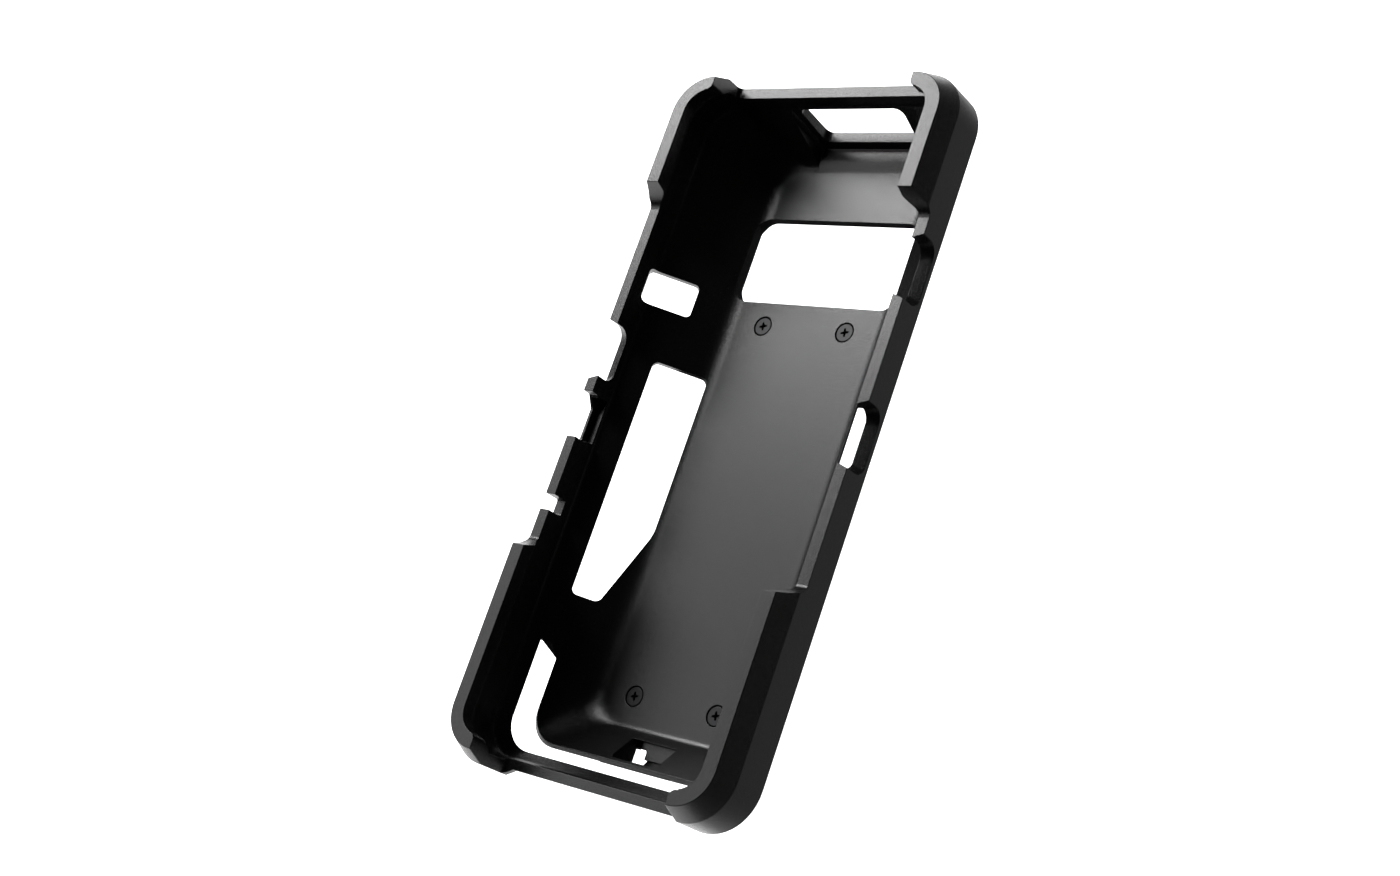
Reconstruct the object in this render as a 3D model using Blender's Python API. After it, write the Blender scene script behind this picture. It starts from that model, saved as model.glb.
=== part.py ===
"""A rugged case for a handheld device, lying on its back with its open front upwards.

X is the width, Y runs along the length towards the end with the top window, and Z is up. The
origin is under the middle of the case, on the surface that the two strap anchors stand on.
Every length below is in millimetres; MM turns it into Blender's metres when a mesh is made.
"""

import math

import bmesh
import bpy
from mathutils import Vector

MM = 0.001

# ---------------------------------------------------------------- driving dimensions
HALF_WIDTH = 43.0
HALF_LENGTH = 92.0
WALL = 3.0
DEPTH = 31.5  # from the back face to the front of the corner lips
ANCHOR_HEIGHT = 6.0  # the strap anchors lift the back face by this much
GAP = 0.3  # clearance between pieces that touch
CLEAR = 3.0  # how far a cutter runs past the surface that it opens

# Heights, counted from the surface that the case lies on
BACK_Z = ANCHOR_HEIGHT
FLOOR_Z = BACK_Z + 2.5
LIP_Z = ANCHOR_HEIGHT + DEPTH
CHAMFER_FOOT_Z = LIP_Z - 5.4
SIDE_RIM_Z = LIP_Z - 7.1
TOP_RIM_Z = LIP_Z - 10.2
BOTTOM_RIM_Z = LIP_Z - 13.5
OUTER_BEND_Z = LIP_Z - 14.8
INNER_BEND_Z = LIP_Z - 14.5

# Outline of the front lips and of the inside
LIP_CHAMFER = 2.4
MOUTH_HALF_WIDTH = HALF_WIDTH - 6.3
MOUTH_HALF_LENGTH = HALF_LENGTH - 6.1
LIP_UNDERSIDE_Z = LIP_Z - 3.8
INNER_HALF_WIDTH = HALF_WIDTH - WALL
INNER_HALF_LENGTH = HALF_LENGTH - WALL
BOTTOM_BEND_STEP = 1.0  # the lower wall leans in by this much before its slope starts
SLOPE_RUN = 16.0  # how far the side and lower slopes lean in, from the bend to the floor
TOP_SLOPE_RUN = 9.2
OUTER_LEAN = SLOPE_RUN / (INNER_BEND_Z - FLOOR_Z)
LOWER_SHELF = 2.1  # the lower slope starts this far in from the band above it
SHELF_DROP = 0.6
OUTER_CORNER = 12.0
LIP_CORNER = 9.7
MOUTH_CORNER = 6.0
INNER_CORNER = 9.5
FLOOR_CORNER = 8.0
BACK_CORNER = 9.0
SIDE_FILLET = 8.0
END_FILLET = 3.0

# Where the corner bumpers end
UPPER_BUMPER_Y = 59.35
LOWER_BUMPER_Y = -39.45
BUMPER_X = 30.3
LIP_END_RADIUS = 1.8
LOWER_RAIL_RECESS = 1.6
RELIEF_Y = (-21.0, 16.0)
TETHER_HALF_WIDTH = 7.0
TETHER_LOW_Y = -80.5
TETHER_HIGH_Y = -74.4

# Openings in the back panel and the walls
CAMERA_X = 25.0
CAMERA_Y = (40.75, 64.25)
CAMERA_CORNER = 4.0
SCREW_X = 12.76
SCREW_ROWS = {"upper": 34.25, "lower": -64.4}
SCOOP_LENGTH = 16.9
SCOOP_FLARE = 1.3
SCOOP_DEPTH = 6.5
SCOOP_CORNERS = (2.6, 3.4)
KEY_STEP_Y = (-8.3, 4.0)
KEY_STEP_Z = LIP_Z - 11.7
KEY_SHELF_Z = LIP_Z - 9.3
KEY_POCKET_Z = (LIP_Z - 13.6, LIP_Z - 9.8)
NOTCH_Y = (-27.95, -23.85)
NOTCH_Z = LIP_Z - 11.8
TOP_WINDOW_Z = (LIP_Z - 26.0, LIP_Z - 15.3)
RIGHT_SCOOPS_Y = (42.8, 0.95)  # the middles of the scoops on the right rim
LEFT_SCOOP_Y = 15.6

# Screws, inserts and strap anchors
HEAD_RADIUS = 2.35
HEAD_HEIGHT = 1.3
SHANK_RADIUS = 1.15
RECESS_ARM = 1.25
SCREW_END_Z = 1.2
INSERT_RADIUS = 2.1
INSERT_BORE = SHANK_RADIUS + 0.25
INSERT_Z = (0.9, 5.2)
ANCHOR_HALF_WIDTH = 18.5
ANCHOR_PAD = 5.5
ANCHOR_REACH = 10.5  # how far the strap bar stands off the screw pad
STRAP_SLOT = (26.5, 5.6)
STRAP_BAR_HEIGHT = 3.2

ARC_STEPS = 5


# ---------------------------------------------------------------- materials
def surface(name, colour, roughness, metallic=0.0):
    """A plain material: nylon unless it is given a metallic value."""
    material = bpy.data.materials.new(name)
    material.use_nodes = True
    shader = material.node_tree.nodes["Principled BSDF"]
    shader.inputs["Base Color"].default_value = (*colour, 1.0)
    shader.inputs["Roughness"].default_value = roughness
    shader.inputs["Metallic"].default_value = metallic
    return material


# ---------------------------------------------------------------- outlines
def rounded_polygon(corners, radii, steps=ARC_STEPS):
    """The outline through 2-D corners, each rounded by an arc of its own radius."""
    points = []
    count = len(corners)
    for i, (corner, radius) in enumerate(zip(corners, radii)):
        here = Vector(corner)
        back = (Vector(corners[i - 1]) - here).normalized()
        ahead = (Vector(corners[(i + 1) % count]) - here).normalized()
        if radius <= 0:
            points.append(tuple(here))
            continue
        half = back.angle(ahead) / 2
        centre = here + (back + ahead).normalized() * (radius / math.sin(half))
        reach = radius / math.tan(half)
        start = (here + back * reach) - centre
        end = (here + ahead * reach) - centre
        turn = start.angle_signed(end)
        for step in range(steps + 1):
            angle = -turn * step / steps
            points.append((
                centre.x + start.x * math.cos(angle) - start.y * math.sin(angle),
                centre.y + start.x * math.sin(angle) + start.y * math.cos(angle),
            ))
    return points


def rounded_box(half_width, low, high, radius, steps=ARC_STEPS):
    corners = [(-half_width, low), (half_width, low), (half_width, high), (-half_width, high)]
    return rounded_polygon(corners, [radius] * 4, steps)


def circle(radius, steps, centre=(0.0, 0.0)):
    return [
        (centre[0] + radius * math.cos(2 * math.pi * i / steps),
         centre[1] + radius * math.sin(2 * math.pi * i / steps))
        for i in range(steps)
    ]


# ---------------------------------------------------------------- solids
def new_object(name, bm, material=None):
    bmesh.ops.recalc_face_normals(bm, faces=bm.faces)
    mesh = bpy.data.meshes.new(name)
    bm.to_mesh(mesh)
    bm.free()
    if material:
        mesh.materials.append(material)
    obj = bpy.data.objects.new(name, mesh)
    bpy.context.scene.collection.objects.link(obj)
    return obj


def skin(name, loops, material=None):
    """A closed solid through a row of loops, each a list of 3-D points, with flat end caps."""
    bm = bmesh.new()
    rings = [[bm.verts.new(Vector(p) * MM) for p in loop] for loop in loops]
    for low, high in zip(rings, rings[1:]):
        for i in range(len(low)):
            j = (i + 1) % len(low)
            bm.faces.new((low[i], low[j], high[j], high[i]))
    bm.faces.new(list(reversed(rings[0])))
    bm.faces.new(rings[-1])
    return new_object(name, bm, material)


def stack(name, sections, material=None):
    """A solid lofted through (outline, z) sections."""
    return skin(name, [[(x, y, z) for x, y in outline] for outline, z in sections], material)


def hide_cutter(obj):
    obj.hide_render = True
    obj.display_type = "WIRE"
    return obj


def combine(body, tool, operation):
    modifier = body.modifiers.new(tool.name, "BOOLEAN")
    modifier.operation = operation
    modifier.solver = "EXACT"
    modifier.object = hide_cutter(tool)


def cut(body, tool):
    combine(body, tool, "DIFFERENCE")


def bar_along_x(name, outline, low, high):
    """A prism between two X positions, from an outline in Y and Z."""
    return skin(name, [[(x, y, z) for y, z in outline] for x in (low, high)])


def bar_along_y(name, outline, low, high):
    return skin(name, [[(x, y, z) for x, z in outline] for y in (low, high)])


# ---------------------------------------------------------------- the shell's body
def outer_body():
    """The outside: chamfered lips, a straight band, then slopes down to the narrower back."""
    fall = OUTER_BEND_Z - BACK_Z
    lean = OUTER_LEAN * fall
    top_lean = TOP_SLOPE_RUN / (INNER_BEND_Z - FLOOR_Z) * fall
    lip = LIP_CHAMFER
    step = OUTER_LEAN * SHELF_DROP
    return stack("case_shell", [
        (rounded_box(HALF_WIDTH - lean, lean + LOWER_SHELF - HALF_LENGTH, HALF_LENGTH - top_lean,
                     BACK_CORNER), BACK_Z),
        (rounded_box(HALF_WIDTH - step, step + LOWER_SHELF - HALF_LENGTH,
                     HALF_LENGTH - step * TOP_SLOPE_RUN / SLOPE_RUN, OUTER_CORNER),
         OUTER_BEND_Z - SHELF_DROP),
        (rounded_box(HALF_WIDTH, -HALF_LENGTH, HALF_LENGTH, OUTER_CORNER), OUTER_BEND_Z),
        (rounded_box(HALF_WIDTH, -HALF_LENGTH, HALF_LENGTH, OUTER_CORNER), CHAMFER_FOOT_Z),
        (rounded_box(HALF_WIDTH - lip, lip - HALF_LENGTH, HALF_LENGTH - lip, LIP_CORNER), LIP_Z),
    ], surface("black_nylon", (0.018, 0.018, 0.019), 0.5))


def fillet_inset(rise, radius, steepness):
    """How far inside the foot of a slope its filleted surface lies, at a height above the floor."""
    if rise >= radius * (1 - math.cos(steepness)):
        return -rise / math.tan(steepness)
    angle = math.acos(1 - rise / radius)
    return radius * (math.tan(steepness / 2) - math.sin(angle))


def cavity():
    """The space for the device: under the lips, straight walls, slopes and a filleted floor."""
    mouth, mouth_length = MOUTH_HALF_WIDTH, MOUTH_HALF_LENGTH
    width, length = INNER_HALF_WIDTH, INNER_HALF_LENGTH
    drop = INNER_BEND_Z - FLOOR_Z
    steepness = math.atan2(drop, SLOPE_RUN)
    share = TOP_SLOPE_RUN / SLOPE_RUN
    sections = []
    for step in range(4):
        rise = SIDE_FILLET * (1 - math.cos(steepness * step / 3))
        side = SLOPE_RUN + fillet_inset(rise, SIDE_FILLET, steepness)
        end = SLOPE_RUN + fillet_inset(rise, END_FILLET, steepness)
        top = TOP_SLOPE_RUN + fillet_inset(rise, SIDE_FILLET, steepness) * share
        sections.append((rounded_box(
            width - side, end + BOTTOM_BEND_STEP - length, length - top, FLOOR_CORNER), FLOOR_Z + rise))
    sections += [
        (rounded_box(width, BOTTOM_BEND_STEP - length, length, INNER_CORNER), INNER_BEND_Z),
        (rounded_box(width, 0.15 - length, length, INNER_CORNER), INNER_BEND_Z + 1.2),
        (rounded_box(width, -length, length, INNER_CORNER), SIDE_RIM_Z),
        (rounded_box(mouth, -mouth_length, mouth_length, MOUTH_CORNER), LIP_UNDERSIDE_Z),
        (rounded_box(mouth, -mouth_length, mouth_length, MOUTH_CORNER), LIP_Z + CLEAR),
    ]
    return stack("cavity_cutter", sections)


def top_window_housing():
    """The thicker middle of the upper end, which stands proud of the outer slope."""
    low = [(-17.0, 75.0), (23.0, 75.0), (23.0, 86.9), (-17.0, 86.9)]
    high = [(-21.0, 75.0), (26.0, 75.0), (26.0, 91.6), (-21.0, 91.6)]
    radii = [1.0, 1.0, 3.0, 3.0]
    return stack("top_housing", [
        (rounded_polygon(low, radii), BACK_Z + 0.6),
        (rounded_polygon(high, radii), OUTER_BEND_Z + 2),
    ])


def top_recess():
    """The steeper inner face that the top window is cut in."""
    low = [(-12.1, 70.0), (20.0, 70.0), (20.0, 84.45), (-12.1, 84.45)]
    high = [(-17.0, 70.0), (23.5, 70.0), (23.5, 88.95), (-17.0, 88.95)]
    radii = [1.0, 1.0, 1.5, 1.5]
    return stack("top_recess_cutter", [
        (rounded_polygon(low, radii), FLOOR_Z),
        (rounded_polygon(high, radii), INNER_BEND_Z + 0.4),
    ])


def recess_swell():
    """A slight rise of the floor towards the top window."""
    start, end, height = 77.5, 81.5, 0.65
    outline = [(start, FLOOR_Z - 1), (start, FLOOR_Z - 0.03)]
    for step in range(1, 6):
        share = step / 5
        rise = height * (1 - math.cos(math.pi * share)) / 2
        outline.append((start + (end - start) * share, FLOOR_Z - 0.03 + rise))
    outline += [(85.3, FLOOR_Z - 0.03 + height), (85.3, FLOOR_Z - 1)]
    return bar_along_x("recess_swell", outline, -12.9, 20.8)


# ---------------------------------------------------------------- rims between the bumpers
def side_rim_cutter():
    """Lowers both side rims between the bumpers, with a hollow ramp at each end."""
    up, down = UPPER_BUMPER_Y, LOWER_BUMPER_Y
    drop = LIP_Z - SIDE_RIM_Z
    ramp = [(0.0, 0.0), (-0.9, 0.36), (-2.1, 0.70), (-3.2, 0.90), (-4.4, 1.0)]
    upper = [(up + dy, LIP_Z - drop * share) for dy, share in ramp]
    lower = [(down - dy, LIP_Z - drop * share) for dy, share in reversed(ramp)]
    outline = [(up, LIP_Z + CLEAR)] + upper + lower + [(down, LIP_Z + CLEAR)]
    return bar_along_x("side_rim_cutter", outline, -HALF_WIDTH - CLEAR, HALF_WIDTH + CLEAR)


def end_rim_cutter(name, rim_z, low, high):
    outline = rounded_polygon(
        [(-BUMPER_X, LIP_Z + CLEAR), (-BUMPER_X, rim_z), (BUMPER_X, rim_z), (BUMPER_X, LIP_Z + CLEAR)],
        [0, 1.2, 1.2, 0], 3)
    return bar_along_y(name, outline, low, high)


def lip_end_rounders():
    """Round the inner corners of the lips, where they stop at the gaps between the bumpers."""
    rounders = []
    for side in (-1, 1):
        for end in (-1, 1):
            x, y, radius = BUMPER_X, MOUTH_HALF_LENGTH, LIP_END_RADIUS
            outline = [(x - 0.6, y - 0.6), (x + radius + 0.3, y - 0.6), (x + radius + 0.3, y - 0.05)]
            for degrees in (262, 243, 225, 207, 188):
                angle = math.radians(degrees)
                outline.append((x + radius * (1 + math.cos(angle)), y + radius * (1 + math.sin(angle))))
            outline += [(x - 0.05, y + radius + 0.3), (x - 0.6, y + radius + 0.3)]
            plan = [(side * px, end * py) for px, py in outline]
            name = f"lip_rounder_{len(rounders)}"
            rounders.append(stack(name, [(plan, LIP_UNDERSIDE_Z - 4), (plan, LIP_Z + CLEAR)]))
    return rounders


def lower_rail_recess():
    """Sets the outside of the lower rail back between the two bumpers."""
    wide, narrow = BUMPER_X, BUMPER_X - 2.5
    face = LOWER_RAIL_RECESS - HALF_LENGTH
    outline = [(-wide, -HALF_LENGTH - CLEAR), (wide, -HALF_LENGTH - CLEAR), (wide, -HALF_LENGTH),
               (narrow, face), (-narrow, face), (-wide, -HALF_LENGTH)]
    return stack("lower_rail_cutter", [(outline, OUTER_BEND_Z - 1.4), (outline, LIP_Z + CLEAR)])


# ---------------------------------------------------------------- scoops and notches
def scoop(name, side, middle):
    """A flared cut in a side rim, for a side key."""
    loops = []
    for distance, grow in ((INNER_HALF_WIDTH - 1.5, -SCOOP_FLARE / 2), (HALF_WIDTH + 1.5, SCOOP_FLARE)):
        half = SCOOP_LENGTH / 2 - SCOOP_FLARE + grow + 0.2
        low = SIDE_RIM_Z - SCOOP_DEPTH + SCOOP_FLARE - grow - 0.3
        outline = rounded_polygon(
            [(middle - half, SIDE_RIM_Z + CLEAR), (middle - half, low), (middle + half, low),
             (middle + half, SIDE_RIM_Z + CLEAR)],
            [0, *SCOOP_CORNERS, 0])
        loops.append([(side * distance, y, z) for y, z in outline])
    return skin(name, loops)


def left_rim_notches():
    """The step over the long side key, its inner pocket, and the small square notch."""
    low, high = KEY_STEP_Y
    inside, outside = -INNER_HALF_WIDTH + 2, -HALF_WIDTH - 2
    step = rounded_polygon(
        [(low, SIDE_RIM_Z + CLEAR), (low, KEY_STEP_Z), (high - 3, KEY_STEP_Z), (high, KEY_SHELF_Z),
         (high, SIDE_RIM_Z + CLEAR)], [0, 1.0, 1.0, 0.5, 0], 3)
    foot, top = KEY_POCKET_Z
    pocket = [(low + 0.5, foot), (high - 0.3, foot), (high - 0.3, top), (low + 0.5, top)]
    near, far = NOTCH_Y
    square = rounded_polygon(
        [(near, SIDE_RIM_Z + CLEAR), (near, NOTCH_Z), (far, NOTCH_Z), (far, SIDE_RIM_Z + CLEAR)],
        [0, 0.5, 0.5, 0], 2)
    return [
        bar_along_x("key_step_cutter", step, outside, inside),
        bar_along_x("key_pocket_cutter", pocket, -HALF_WIDTH + 0.9, inside),
        bar_along_x("square_notch_cutter", square, outside, inside),
    ]


# ---------------------------------------------------------------- windows in the slopes
SLOPE_LENGTH = math.hypot(SLOPE_RUN, INNER_BEND_Z - FLOOR_Z)
DOWN_SLOPE = (SLOPE_RUN / SLOPE_LENGTH, (FLOOR_Z - INNER_BEND_Z) / SLOPE_LENGTH)


def on_side_slope(side, along, y, outwards):
    """The point at a distance down a side slope's inner face, and outwards through the wall."""
    x = INNER_HALF_WIDTH - along * DOWN_SLOPE[0] - outwards * DOWN_SLOPE[1]
    z = INNER_BEND_Z + along * DOWN_SLOPE[1] - outwards * DOWN_SLOPE[0]
    return (side * x, y, z)


def slope_window(name, side, corners, radii, inside=-5.0, outside=7.0):
    """A window cut square to a side slope, from (distance down the slope, y) corners."""
    outline = rounded_polygon(corners, radii)
    return skin(name, [
        [on_side_slope(side, along, y, depth) for along, y in outline] for depth in (inside, outside)
    ])


def tapered_window(name, side):
    corners = [(6.9, 18.3), (21.4, 18.3), (21.4, -24.2), (14.1, -44.7), (6.9, -44.7)]
    return slope_window(name, side, corners, [1.6, 1.6, 12.0, 2.0, 1.6])


def right_window_relief():
    """Undercuts the panel's edge along the right-hand window, from the back, to a thin land."""
    land = INNER_HALF_WIDTH - SLOPE_RUN
    outline = [(land + 0.2, FLOOR_Z + 0.26), (land - 2.53, BACK_Z - 0.8), (land + 6, BACK_Z - 0.8),
               (land + 6, FLOOR_Z + 0.26)]
    return bar_along_y("right_relief_cutter", outline, RELIEF_Y[0], RELIEF_Y[1])


def left_window():
    corners = [(-1.8, 41.1), (11.6, 41.1), (11.6, 32.1), (-1.8, 32.1)]
    return slope_window("left_window_cutter", -1, corners, [1.3] * 4)


def end_slot():
    """The slot that runs down one side slope, round the lower end and up the other side."""
    sections = []
    for along, outwards, end in (
        (3.9, -4.0, -57.9), (6.5, -4.0, -57.9), (9.0, -4.0, -61.2),
        (9.0, 5.0, -61.2), (6.5, 5.0, -57.9), (3.9, 5.0, -57.9),
    ):
        x, _, z = on_side_slope(1, along, 0.0, outwards)
        low = x - INNER_HALF_WIDTH - BOTTOM_BEND_STEP + INNER_HALF_LENGTH
        path = rounded_polygon([(-x, end), (-x, -low), (x, -low), (x, end)], [0, 8.0, 8.0, 0], 7)
        sections.append([Vector((px, py, z)) * MM for px, py in path])
    bm = bmesh.new()
    rings = [[bm.verts.new(p) for p in section] for section in zip(*sections)]
    for one, other in zip(rings, rings[1:]):
        for i in range(len(one)):
            j = (i + 1) % len(one)
            bm.faces.new((one[i], one[j], other[j], other[i]))
    bm.faces.new(list(reversed(rings[0])))
    bm.faces.new(rings[-1])
    return new_object("end_slot_cutter", bm)


def camera_window():
    outline = rounded_box(CAMERA_X, *CAMERA_Y, CAMERA_CORNER)
    return stack("camera_cutter", [(outline, BACK_Z - CLEAR), (outline, INNER_BEND_Z)])


def top_window():
    low, high = TOP_WINDOW_Z
    outline = rounded_polygon(
        [(-10.2, low), (18.2, low), (18.2, high), (-13.2, high)], [2.4, 2.0, 2.4, 1.2])
    return bar_along_y("top_window_cutter", outline, 78.0, HALF_LENGTH + CLEAR)


def tether_boss():
    """The block on the back of the lower slope that carries the tether bar."""
    half, low, draft = TETHER_HALF_WIDTH + 3.6, TETHER_LOW_Y - 0.9, 1.0
    foot = rounded_box(half, low, TETHER_HIGH_Y + 5, 2.0, 2)
    top = rounded_box(half + draft, low - draft, TETHER_HIGH_Y + 5, 2.0, 2)
    return stack("tether_boss", [(foot, BACK_Z + 0.4), (top, FLOOR_Z + 8.2)])


def tether_pocket():
    """A pocket over the tether bar, the groove behind the bar and the holes at its two ends."""
    half, low, high = TETHER_HALF_WIDTH, TETHER_LOW_Y, TETHER_HIGH_Y
    pocket = rounded_polygon(
        [(half, low), (half, high), (-half, high), (-half, -76.1), (-5.0, -76.1), (-5.0, low)],
        [0.8, 0.8, 0.8, 0, 0, 0], 2)
    groove = rounded_polygon(
        [(half, low), (half, -78.45), (-5.0, -78.45), (-5.0, low)], [0.8, 0.4, 0, 0], 2)
    slot = rounded_polygon(
        [(-half, low), (-4.9, low), (-3.5, -78.6), (-3.5, -76.0), (-half, -76.0)],
        [0.8, 0, 0.3, 1.0, 0], 2)
    undercut = rounded_box(1.7, -80.2, -76.2, 0.5, 2)
    undercut = [(x - half, y) for x, y in undercut]
    hole = circle(1.5, 12, (4.9, -77.2))
    return [
        stack("tether_pocket_cutter", [(pocket, FLOOR_Z), (pocket, FLOOR_Z + 12)]),
        stack("tether_groove_cutter", [(groove, FLOOR_Z - 1.2), (groove, FLOOR_Z + 4)]),
        stack("tether_slot_cutter", [(slot, BACK_Z - CLEAR), (slot, FLOOR_Z + 12)]),
        stack("tether_undercut_cutter", [(undercut, BACK_Z - CLEAR), (undercut, FLOOR_Z - 0.5)]),
        stack("tether_hole_cutter", [(hole, BACK_Z - CLEAR), (hole, FLOOR_Z + 3)]),
    ]


# ---------------------------------------------------------------- screws, inserts, anchors
SIDES = {"left": -1, "right": 1}


def screw_positions():
    for row, y in SCREW_ROWS.items():
        for side_name, side in SIDES.items():
            yield f"{row}_{side_name}", side * SCREW_X, y


def screw_hole(name, x, y):
    head = HEAD_RADIUS + GAP
    shank = SHANK_RADIUS + GAP
    cone_foot = FLOOR_Z - HEAD_HEIGHT - 0.1
    return stack(f"{name}_hole", [
        (circle(shank, 16, (x, y)), BACK_Z - CLEAR),
        (circle(shank, 16, (x, y)), cone_foot),
        (circle(head, 16, (x, y)), FLOOR_Z - 0.25),
        (circle(head, 16, (x, y)), FLOOR_Z + 2),
    ])


def screw(name, x, y, steel):
    """A countersunk machine screw, head up, with a cross recess."""
    top = FLOOR_Z - 0.1
    body = stack(f"screw_{name}", [
        (circle(SHANK_RADIUS, 16, (x, y)), SCREW_END_Z),
        (circle(SHANK_RADIUS, 16, (x, y)), top - HEAD_HEIGHT),
        (circle(HEAD_RADIUS, 16, (x, y)), top - 0.2),
        (circle(HEAD_RADIUS, 16, (x, y)), top),
    ], steel)
    cut(body, stack(f"screw_{name}_recess", [
        (cross_outline(RECESS_ARM * 0.55, x, y), top - 0.9),
        (cross_outline(RECESS_ARM, x, y), top + 0.2),
    ]))
    body.data.shade_smooth()
    body.data.set_sharp_from_angle(angle=math.radians(35))
    return body


def cross_outline(arm, x, y):
    """The twelve corners of a cross recess centred on (x, y)."""
    web = arm * 0.22
    points = []
    for quarter in range(4):
        turn = math.radians(90 * quarter)
        for a, b in ((arm, -web), (arm, web), (web, web)):
            points.append((
                x + a * math.cos(turn) - b * math.sin(turn),
                y + a * math.sin(turn) + b * math.cos(turn),
            ))
    return points


def insert(name, x, y, brass):
    low, high = INSERT_Z
    body = stack(f"insert_{name}", [
        (circle(INSERT_RADIUS, 20, (x, y)), low), (circle(INSERT_RADIUS, 20, (x, y)), high)], brass)
    bore = circle(INSERT_BORE, 16, (x, y))
    cut(body, stack(f"insert_{name}_bore", [(bore, low - 1), (bore, high + 1)]))
    return body


def strap_anchor(row, y, towards, material):
    """A screw pad with two arms that carry a bar, standing clear of the back, for a strap."""
    width = ANCHOR_HALF_WIDTH
    top = BACK_Z - GAP
    back = y - towards * ANCHOR_PAD
    bar = y + towards * (ANCHOR_PAD + ANCHOR_REACH)
    low, high = sorted((back, bar))
    plan = rounded_box(width, low, high, 4.0, 4)
    body = stack(f"strap_anchor_{row}", [(plan, 0.0), (plan, top)], material)
    half_slot = STRAP_SLOT[0] / 2
    slot_start = y + towards * (ANCHOR_PAD - 0.2)
    slot_low, slot_high = sorted((slot_start, slot_start + towards * STRAP_SLOT[1]))
    slot = rounded_box(half_slot, slot_low, slot_high, 1.2, 3)
    cut(body, stack(f"strap_slot_{row}", [(slot, -2), (slot, top + 2)]))
    over_low, over_high = sorted((slot_start, bar + towards * 3))
    relief = rounded_box(half_slot, over_low, over_high, 1.2, 3)
    cut(body, stack(f"strap_relief_{row}", [(relief, STRAP_BAR_HEIGHT), (relief, top + 2)]))
    for name, x, screw_y in screw_positions():
        if screw_y != y:
            continue
        pocket = circle(INSERT_RADIUS + GAP, 20, (x, y))
        cut(body, stack(f"insert_{name}_pocket", [(pocket, INSERT_Z[0] - GAP), (pocket, top + 2)]))
    return body


# ---------------------------------------------------------------- the assembly
def main():
    for obj in list(bpy.data.objects):
        bpy.data.objects.remove(obj, do_unlink=True)

    shell = outer_body()
    combine(shell, top_window_housing(), "UNION")
    combine(shell, tether_boss(), "UNION")
    cutters = [
        cavity(), top_recess(), side_rim_cutter(),
        end_rim_cutter("top_rim_cutter", TOP_RIM_Z, 40.0, HALF_LENGTH + CLEAR),
        end_rim_cutter("lower_rim_cutter", BOTTOM_RIM_Z, -HALF_LENGTH - CLEAR, -40.0),
        lower_rail_recess(), camera_window(), top_window(), left_window(),
        tapered_window("left_tapered_cutter", -1), tapered_window("right_tapered_cutter", 1),
        right_window_relief(),
        end_slot(), *tether_pocket(), *left_rim_notches(), *lip_end_rounders(),
        scoop("left_scoop_cutter", -1, LEFT_SCOOP_Y),
    ]
    for number, middle in enumerate(RIGHT_SCOOPS_Y, 1):
        cutters.append(scoop(f"right_scoop_cutter_{number}", 1, middle))
    for name, x, y in screw_positions():
        cutters.append(screw_hole(name, x, y))
    for tool in cutters:
        cut(shell, tool)
    combine(shell, recess_swell(), "UNION")
    shell.data.shade_smooth()
    shell.data.set_sharp_from_angle(angle=math.radians(25))

    steel = surface("black_steel", (0.03, 0.03, 0.032), 0.35, 0.9)
    brass = surface("brass", (0.55, 0.38, 0.16), 0.35, 1.0)
    anchor = surface("anchor_nylon", (0.022, 0.022, 0.024), 0.55)
    for name, x, y in screw_positions():
        screw(name, x, y, steel)
        insert(name, x, y, brass)
    strap_anchor("upper", SCREW_ROWS["upper"], -1, anchor)
    strap_anchor("lower", SCREW_ROWS["lower"], 1, anchor)


main()
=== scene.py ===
"""Looks of a rugged handheld-device case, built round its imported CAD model.

The case lies on its back with the open front up: X is its width, Y its length and Z its depth.
The shell, screws, inserts and strap anchors are remade here as fine meshes, with rounded edges and
procedural materials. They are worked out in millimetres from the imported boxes, then scaled to metres.
"""

import math

import bmesh
import bpy
from mathutils import Matrix, Vector

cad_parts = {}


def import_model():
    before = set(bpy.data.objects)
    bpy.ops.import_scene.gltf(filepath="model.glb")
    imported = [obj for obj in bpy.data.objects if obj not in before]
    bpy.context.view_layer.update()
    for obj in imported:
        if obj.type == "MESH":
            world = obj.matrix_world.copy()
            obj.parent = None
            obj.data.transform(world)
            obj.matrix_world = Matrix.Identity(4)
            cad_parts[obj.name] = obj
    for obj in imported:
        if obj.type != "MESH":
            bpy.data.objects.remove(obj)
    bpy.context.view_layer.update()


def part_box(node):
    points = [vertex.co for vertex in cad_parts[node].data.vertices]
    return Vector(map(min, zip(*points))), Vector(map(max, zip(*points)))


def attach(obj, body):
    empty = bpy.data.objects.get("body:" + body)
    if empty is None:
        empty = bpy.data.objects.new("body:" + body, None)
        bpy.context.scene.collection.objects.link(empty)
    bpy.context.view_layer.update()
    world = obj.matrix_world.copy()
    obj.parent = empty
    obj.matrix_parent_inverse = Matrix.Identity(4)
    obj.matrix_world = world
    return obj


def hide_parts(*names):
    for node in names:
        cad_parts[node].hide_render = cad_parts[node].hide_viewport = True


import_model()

MM = 0.001
SHELL_LOW, SHELL_HIGH = (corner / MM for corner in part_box("case_shell"))

# ---------------------------------------------------------------- driving dimensions, in mm
HALF_WIDTH = SHELL_HIGH.x
HALF_LENGTH = SHELL_HIGH.y
BACK_Z = SHELL_LOW.z
LIP_Z = SHELL_HIGH.z
WALL = 3.0
FLOOR_Z = BACK_Z + 2.5
CHAMFER_FOOT_Z = LIP_Z - 5.4
SIDE_RIM_Z = LIP_Z - 7.1
TOP_RIM_Z = LIP_Z - 10.2
BOTTOM_RIM_Z = LIP_Z - 13.5
OUTER_BEND_Z = LIP_Z - 14.8
INNER_BEND_Z = LIP_Z - 14.5

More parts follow.
